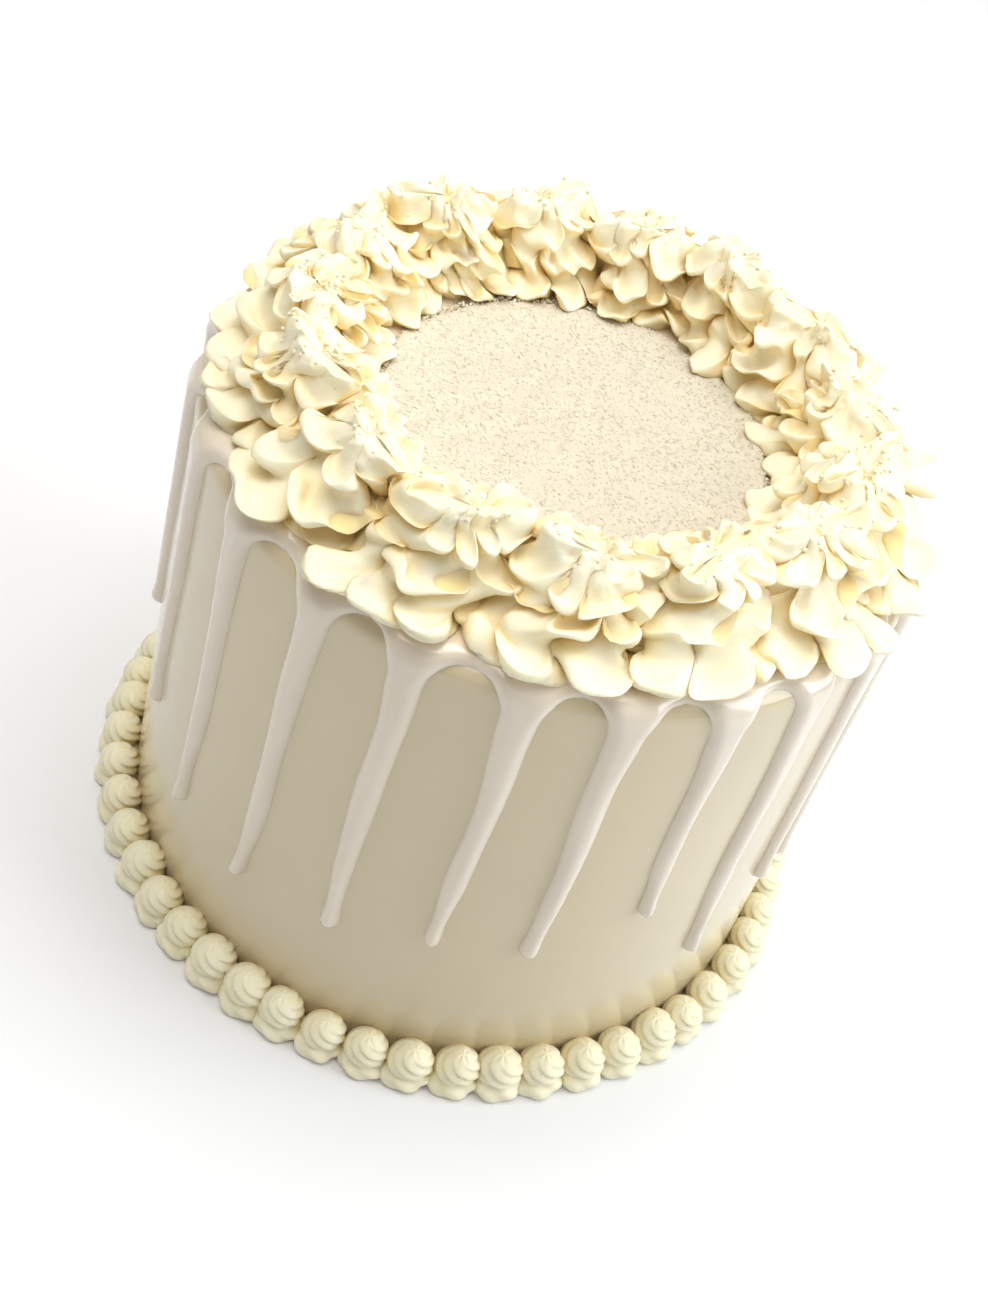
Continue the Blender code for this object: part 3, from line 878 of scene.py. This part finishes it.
def lobes(around, tier):
    """Petals round a swirl: how far each point stands out, how low it hangs and how far it leans."""
    (phase, shift), traits = tier
    uneven = around.copy()
    for wave, (amount, start) in enumerate(zip(PETAL_UNEVENNESS, shift), start=1):
        uneven += amount * np.sin(wave * around + start)
    place = LOBES * uneven / (2.0 * math.pi) + phase
    which = np.floor(place).astype(int) % LOBES
    bulge = np.abs(np.sin(math.pi * place)) ** PETAL_ROUNDNESS
    swell = -BULB * np.sin(2.0 * math.pi * place) * 2.0 * math.pi / LOBES
    return [bulge * trait[which] for trait in traits] + [swell]


def swirl_surface(index, rows, columns):
    """Points of one swirl before it is set on the ring: across, along and up."""
    chance = random.Random(SWIRL_SEED + index)
    around = np.arange(columns) * 2.0 * math.pi / columns
    pattern = (chance.random(), [chance.uniform(0.0, 2.0 * math.pi) for _ in range(2)])
    tiers = [petal_tier(pattern, chance) for _ in range(TIERS)]
    size = chance.uniform(*SIZE_RANGE)
    tall = chance.uniform(*HEIGHT_RANGE)
    twist = chance.choice((-1.0, 1.0)) * chance.uniform(*TWIST_RANGE)
    fold_start = chance.uniform(0.0, 2.0 * math.pi)
    ripple_start = chance.uniform(0.0, 2.0 * math.pi)
    points = np.zeros((len(rows), columns, 3))
    for number, (across, along, height, crease, droop, tier, cup) in enumerate(rows):
        weights = [max(0.0, 1.0 - abs(tier - step)) for step in range(len(tiers))]
        folded = around + FOLD_SWING * np.sin(height * FOLD_RATE + fold_start + FOLD_WAVES * around)
        petals = [lobes(folded, petal) for petal in tiers]
        bulge, hang, lean, swell = (sum(weight * petal[value] for weight, petal in zip(weights, petals))
                                    for value in range(4))
        power = np.interp(tier, range(len(SQUARENESS)), SQUARENESS)
        reach = (np.abs(np.cos(around) / across) ** power
                 + np.abs(np.sin(around) / along) ** power) ** (-1.0 / power)
        reach = reach * size * (1.0 - crease * (1.0 - bulge))
        lowered = droop * np.minimum(bulge - PETAL_MIDDLE + HANG_SHARE * hang, LOWEST_HANG)
        ripple = smooth_step((crease - RIPPLE_START) / RIPPLE_FULL) * bulge
        ripple = ripple * (1.0 - RIPPLE_LOSS * smooth_step(tier - 1.0))
        fold = RIPPLES * around + RIPPLE_BEND * np.sin(RIPPLE_BEND_WAVES * around + ripple_start)
        fold += ripple_start + RIPPLE_STEP * tier
        reach = reach + RIPPLE_REACH * ripple * np.sin(fold)
        lowered = lowered + cup * bulge * bulge - RIPPLE_RISE * ripple * np.cos(fold)
        up = np.maximum(height * tall - lowered, 0.0)
        turned = around + twist * up / TWIST_HEIGHT + lean * crease + swell * crease / BULB_CREASE
        points[number, :, 0] = reach * np.cos(turned)
        points[number, :, 1] = reach * np.sin(turned)
        points[number, :, 2] = up
    return points


def unevenness(points, index):
    """Slow waves that keep any two swirls from looking alike; the foot stays flat."""
    moved = points.copy()
    grown = np.clip(points[..., 2] / FLAT_FOOT, 0.0, 1.0)
    for axis, (first, second) in enumerate(((1, 2), (2, 0), (0, 1))):
        bend = WAVE_BEND * np.cos(points[..., second] * WAVE_BEND_RATE + index * BEND_STEP)
        phase = points[..., first] * WAVE_RATE + bend + index * WAVE_STEP
        moved[..., axis] += WAVE_SIZE * grown * np.sin(phase)
    return moved


def set_on_ring(points, index):
    """Bend a swirl to the ring, lean it over its neighbour and press it against both neighbours."""
    pitch = 2.0 * math.pi / SWIRLS
    middle = math.radians(FIRST_SWIRL) + index * pitch
    share = OUTWARD + OUTWARD_FRONT * math.cos(middle - math.radians(FRONT_ANGLE))
    outward = share * (points[..., 0] > 0.0) * np.exp(-(points[..., 2] / OUTWARD_HEIGHT) ** 2)
    radius = RING_RADIUS + points[..., 0] * (1.0 + outward)
    leaned = points[..., 1] + LEAN * (points[..., 2] - LEAN_HEIGHT)
    turn = middle + leaned / RING_RADIUS
    placed = np.stack([radius * np.cos(turn), radius * np.sin(turn), SWIRL_BASE + points[..., 2]], -1)
    for side in (0, 1):
        seam = middle + (side - 0.5) * pitch
        chance = random.Random(SEAM_SEED + (index + side) % SWIRLS)
        turned = seam + chance.uniform(-SEAM_TURN, SEAM_TURN)
        tilt = chance.uniform(-SEAM_TILT, SEAM_TILT) - LEAN
        normal = np.array([-math.sin(turned), math.cos(turned), tilt])
        normal *= (1.0 - 2.0 * side) / np.linalg.norm(normal)
        centre = np.array([RING_RADIUS * math.cos(seam), RING_RADIUS * math.sin(seam),
                           SWIRL_BASE + LEAN_HEIGHT])
        depth = (placed - centre) @ normal + SEAM_OVERLAP
        pressed = 0.5 * (depth + np.sqrt(depth * depth + 4.0 * PRESS_SOFTNESS ** 2))
        move = (pressed - depth) * np.exp(-np.maximum(depth, 0.0) / PRESS_REACH)
        placed = placed + move[..., None] * normal
    return placed


def build_swirls():
    """The ring of piped swirls, with torn crests; returns points in the crests for the crumbs."""
    cream = cream_material("piped_buttercream", PIPED_COLOURS, PIPED_SHADE_DEPTH)
    rows = spline(SWIRL_ROWS, SWIRL_STEPS)
    heights = rows[:, 2]
    pieces, crests = [], []
    for index in range(SWIRLS):
        points = set_on_ring(unevenness(swirl_surface(index, rows, SWIRL_COLUMNS), index), index)
        normal = grid_normals(points)
        torn = smooth_step((heights - TEAR_START) / TEAR_FULL)[:, None]
        rough = 0.0
        for number, size in enumerate(TEAR_SIZES):
            rough = rough + lumps(points, size, TEAR_SEED + number) / (number + 1.0)
        rise = TEAR_DEPTH * torn * rough
        smooth_lumps = CREAM_LUMPS * lumps(points, CREAM_LUMP_SIZE, CREAM_LUMP_SEED)
        points = points + normal * (smooth_lumps + TEAR_OUT * rise)[..., None]
        points[..., 2] += TEAR_UP * rise
        points[0, :, 2] = SWIRL_BASE - SWIRL_SUNK
        faces = grid_faces(len(rows), SWIRL_COLUMNS)
        faces.append(list(range(SWIRL_COLUMNS)))
        peak = len(rows) * SWIRL_COLUMNS
        last = peak - SWIRL_COLUMNS
        for step in range(SWIRL_COLUMNS):
            faces.append([last + step, last + (step + 1) % SWIRL_COLUMNS, peak])
        crests.append(points[-(SWIRL_STEPS * CREST_KNOTS):].reshape(-1, 3))
        every = np.concatenate([points.reshape(-1, 3), points[-1].mean(axis=0)[None]])
        name = f"swirl_{index + 1:02d}"
        piece = add_piece(f"{name}_piped", every, faces, cream)
        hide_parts(name)
        pieces.append(piece)
    return pieces, np.concatenate(crests), cream


def ball(subdivisions):
    """Points and faces of a small ball of radius 1."""
    shape = bmesh.new()
    bmesh.ops.create_icosphere(shape, subdivisions=subdivisions, radius=1.0)
    points = np.array([tuple(point.co) for point in shape.verts])
    faces = np.array([[point.index for point in face.verts] for face in shape.faces])
    shape.free()
    return points, faces


def turned_copies(points, faces, places, sizes, chance, roughness):
    """Copies of a small shape at many places, each turned, sized and misshapen on its own."""
    count = len(places)
    quaternion = chance.normal(size=(count, 4))
    quaternion /= np.linalg.norm(quaternion, axis=1, keepdims=True)
    w, x, y, z = quaternion.T
    turn = np.stack([
        np.stack([1 - 2 * (y * y + z * z), 2 * (x * y - z * w), 2 * (x * z + y * w)], -1),
        np.stack([2 * (x * y + z * w), 1 - 2 * (x * x + z * z), 2 * (y * z - x * w)], -1),
        np.stack([2 * (x * z - y * w), 2 * (y * z + x * w), 1 - 2 * (x * x + y * y)], -1)], 1)
    uneven = 1.0 + roughness * chance.uniform(-1.0, 1.0, size=(count, len(points), 1))
    shapes = points[None] * uneven * sizes[:, None, :]
    shapes = np.einsum("nij,npj->npi", turn, shapes) + places[:, None, :]
    offsets = (np.arange(count) * len(points))[:, None, None]
    return shapes.reshape(-1, 3), (faces[None] + offsets).reshape(-1, faces.shape[1]).tolist()


def build_crumbs(crests, cream):
    """Crumbs of buttercream caught along the torn crests, thickest at two spots."""
    chance = np.random.default_rng(CRUMB_SEED)
    angle = np.degrees(np.arctan2(crests[:, 1], crests[:, 0])) % 360.0
    weight = np.full(len(crests), 1.0 - CRUMB_SPOT_SHARE)
    for middle, reach in CRUMB_SPOTS:
        weight += CRUMB_SPOT_SHARE * CRUMB_CROWDING * np.exp(-((angle - middle) / reach) ** 2)
    picks = chance.choice(len(crests), size=CRUMBS, p=weight / weight.sum())
    size = chance.uniform(*CRUMB_SIZES, size=(CRUMBS, 1)) * chance.uniform(*CRUMB_STRETCH, size=(CRUMBS, 3))
    places = crests[picks] + chance.normal(scale=CRUMB_SCATTER, size=(CRUMBS, 3))
    points, faces = ball(CRUMB_SUBDIVISIONS)
    points, faces = turned_copies(points, faces, places, size, chance, CRUMB_ROUGHNESS)
    return add_piece("crest_crumbs", points, faces, cream)


def sugar_level(points):
    large, small = (height * lumps(points, size, seed) for height, size, seed in SUGAR_BUMPS)
    return SUGAR_TOP + large + small


def build_sugar():
    """A bed of sugar with loose crystals lying on it."""
    around = np.arange(SUGAR_COLUMNS) * 2.0 * math.pi / SUGAR_COLUMNS
    read = np.stack([np.cos(around) * SUGAR_EDGE_RING, np.sin(around) * SUGAR_EDGE_RING,
                     np.zeros(SUGAR_COLUMNS)], -1)
    edge = SUGAR_RADIUS + SUGAR_EDGE_WAVE * lumps(read, SUGAR_EDGE_SIZE, SUGAR_EDGE_SEED)
    flat = np.stack([edge * np.cos(around), edge * np.sin(around),
                     np.full(SUGAR_COLUMNS, SUGAR_BOTTOM)], -1)
    rings = [flat]
    for number, share in enumerate(np.linspace(1.0, SUGAR_MIDDLE, SUGAR_RINGS)):
        ring = flat * share
        ring[:, 2] = 0.0
        ring[:, 2] = sugar_level(ring) - SUGAR_EDGE_DROP * (number == 0)
        rings.append(ring)
    rings = np.array(rings)
    faces = grid_faces(len(rings), SUGAR_COLUMNS)
    faces.append(list(range(SUGAR_COLUMNS)))
    faces.append(list(range((len(rings) - 1) * SUGAR_COLUMNS, len(rings) * SUGAR_COLUMNS)))
    bed = sugar_material("sugar_bed", BED_COLOURS, BED_GLOSS)
    piece = add_piece("sugar_bed", rings.reshape(-1, 3), faces, bed)
    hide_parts("sugar_layer")
    chance = np.random.default_rng(GRAIN_SEED)
    box = np.array([[x, y, z] for x in (-1.0, 1.0) for y in (-1.0, 1.0) for z in (-1.0, 1.0)])
    sides = np.array([[0, 1, 3, 2], [4, 6, 7, 5], [0, 4, 5, 1], [2, 3, 7, 6], [0, 2, 6, 4], [1, 5, 7, 3]])
    radius = np.sqrt(chance.uniform(0.0, 1.0, GRAINS)) * (SUGAR_RADIUS + GRAIN_SPILL)
    stray = chance.uniform(SUGAR_RADIUS + STRAY_BAND[0], SUGAR_RADIUS + STRAY_BAND[1], STRAY_GRAINS)
    radius = np.concatenate([radius, stray])
    count = len(radius)
    angle = chance.uniform(0.0, 2.0 * math.pi, count)
    size = chance.uniform(*GRAIN_SIZES, size=(count, 1)) * chance.uniform(*GRAIN_STRETCH, size=(count, 3))
    places = np.stack([radius * np.cos(angle), radius * np.sin(angle), np.zeros(count)], -1)
    level = np.where(radius > SUGAR_RADIUS, GANACHE_TOP + GAP, sugar_level(places))
    places[:, 2] = level + size.min(axis=1) * chance.uniform(*GRAIN_LIFTS, count)
    points, faces = turned_copies(box, sides, places, size, chance, GRAIN_ROUGHNESS)
    clear = sugar_material("sugar_crystal", CRYSTAL_COLOURS, CRYSTAL_GLOSS)
    add_piece("sugar_grains", points, faces, clear, smooth=False)


def build_border():
    """Piped beads round the foot: a wide foot, a crease and a ball with a small twist on top."""
    chance = random.Random(BEAD_SEED)
    rows = spline(BEAD_ROWS, BEAD_STEPS)
    around = np.arange(BEAD_COLUMNS) * 2.0 * math.pi / BEAD_COLUMNS
    points, faces = [], []
    used = 0
    for number in range(BEADS):
        size = chance.uniform(*BEAD_SIZES)
        phase = chance.uniform(0.0, 2.0 * math.pi)
        tilt_out, tilt_along = chance.uniform(*BEAD_LEAN_OUT), chance.uniform(*BEAD_LEAN_ALONG)
        twist = BEAD_TURN * chance.uniform(*BEAD_TURN_RANGE)
        middle = 2.0 * math.pi * (number + 0.5) / BEADS + chance.uniform(-BEAD_JITTER, BEAD_JITTER)
        grid = np.zeros((len(rows), BEAD_COLUMNS, 3))
        for step, (radius, height, ridge) in enumerate(rows):
            curl = twist * height + BEAD_CURL * smooth_step((height - BEAD_WAIST) / (BEAD_TIP - BEAD_WAIST))
            spiral = (around + curl) * BEAD_RIDGES + phase
            groove = 1.0 - BEAD_RIDGE_DEPTH * ridge * (0.5 + 0.5 * np.cos(spiral)) ** BEAD_RIDGE_SHARPNESS
            reach = radius * size * groove
            raised = height * size
            grid[step, :, 0] = reach * np.cos(around) + tilt_out * raised
            grid[step, :, 1] = BEAD_WIDE * reach * np.sin(around) + tilt_along * raised
            grid[step, :, 2] = raised + BEAD_LIFT * ridge * np.cos(spiral) * (height > BEAD_LIFT_START)
        grid[0, :, 2] = 0.0
        out = BEAD_CENTRE + grid[..., 0]
        turn = middle + grid[..., 1] / BEAD_CENTRE
        placed = np.stack([out * np.cos(turn), out * np.sin(turn), grid[..., 2]], -1)
        rough = BEAD_LUMPS * lumps(placed, BEAD_LUMP_SIZE, BEAD_LUMP_SEED)
        placed[..., 2] = np.maximum(placed[..., 2] + rough, 0.0)
        placed[0, :, 2] = 0.0
        tip = placed[-1].mean(axis=0) + np.array([0.0, 0.0, BEAD_PEAK])
        points.append(np.concatenate([placed.reshape(-1, 3), tip[None]]))
        faces += grid_faces(len(rows), BEAD_COLUMNS, start=used)
        faces.append(list(range(used, used + BEAD_COLUMNS)))
        peak = used + len(rows) * BEAD_COLUMNS
        last = peak - BEAD_COLUMNS
        for step in range(BEAD_COLUMNS):
            faces.append([last + step, last + (step + 1) % BEAD_COLUMNS, peak])
        used = peak + 1
    cream = cream_material("border_buttercream", BORDER_COLOURS, BORDER_SHADE_DEPTH)
    piece = add_piece("bead_border", np.concatenate(points), faces, cream)
    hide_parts("base_border")
    return piece


def build_floor():
    """A plain pale floor."""
    mesh = bpy.data.meshes.new("floor")
    corners = [(x * FLOOR_SIDE, y * FLOOR_SIDE, 0.0) for x, y in ((-1, -1), (1, -1), (1, 1), (-1, 1))]
    mesh.from_pydata(corners, [], [(0, 1, 2, 3)])
    nodes = Nodes("floor")
    colour = nodes.mottle(FLOOR_PATCHES, *FLOOR_COLOURS)
    mesh.materials.append(nodes.finish(colour, nodes.vary(*FLOOR_GLOSS), nodes.grain(FLOOR_GRAIN)))
    floor = bpy.data.objects.new("floor", mesh)
    bpy.context.scene.collection.objects.link(floor)


def add_light(name, place, aim, size, power, colour):
    data = bpy.data.lights.new(name, "AREA")
    data.energy = power
    data.size = size
    data.color = colour
    light = bpy.data.objects.new(name, data)
    bpy.context.scene.collection.objects.link(light)
    light.location = place
    light.rotation_euler = (Vector(aim) - Vector(place)).to_track_quat("-Z", "Y").to_euler()


def build_studio():
    """Soft light from the right, behind and above, a pale sky and the camera."""
    for light in LIGHTS:
        add_light(*light)
    world = bpy.data.worlds.new("studio")
    world.use_nodes = True
    sky = world.node_tree.nodes["Background"]
    sky.inputs["Color"].default_value = (*SKY_COLOUR, 1.0)
    sky.inputs["Strength"].default_value = SKY_STRENGTH
    scene = bpy.context.scene
    scene.world = world
    scene.view_settings.view_transform = "Standard"
    data = bpy.data.cameras.new("camera")
    data.lens = CAMERA_LENS
    data.sensor_width = CAMERA_SENSOR
    camera = bpy.data.objects.new("camera", data)
    scene.collection.objects.link(camera)
    place = Matrix.Identity(4)
    for column, direction in enumerate((CAMERA_RIGHT, CAMERA_UP, CAMERA_BACK)):
        for row in range(3):
            place[row][column] = direction[row]
    for row in range(3):
        place[row][3] = CAMERA_PLACE[row] * MM
    camera.matrix_world = place
    scene.camera = camera


wall = build_wall()
ganache = build_ganache()
swirls, crest_points, cream_surface = build_swirls()
build_crumbs(crest_points, cream_surface)
build_sugar()
border = build_border()
# Closed-off marks that set the painted shade in the creases of the swirls and where the beads meet the side
mark_hollows_for_shade(swirls, [ganache], SWIRL_REACH)
mark_hollows_for_shade([border], [wall], BEAD_REACH)
build_floor()
build_studio()
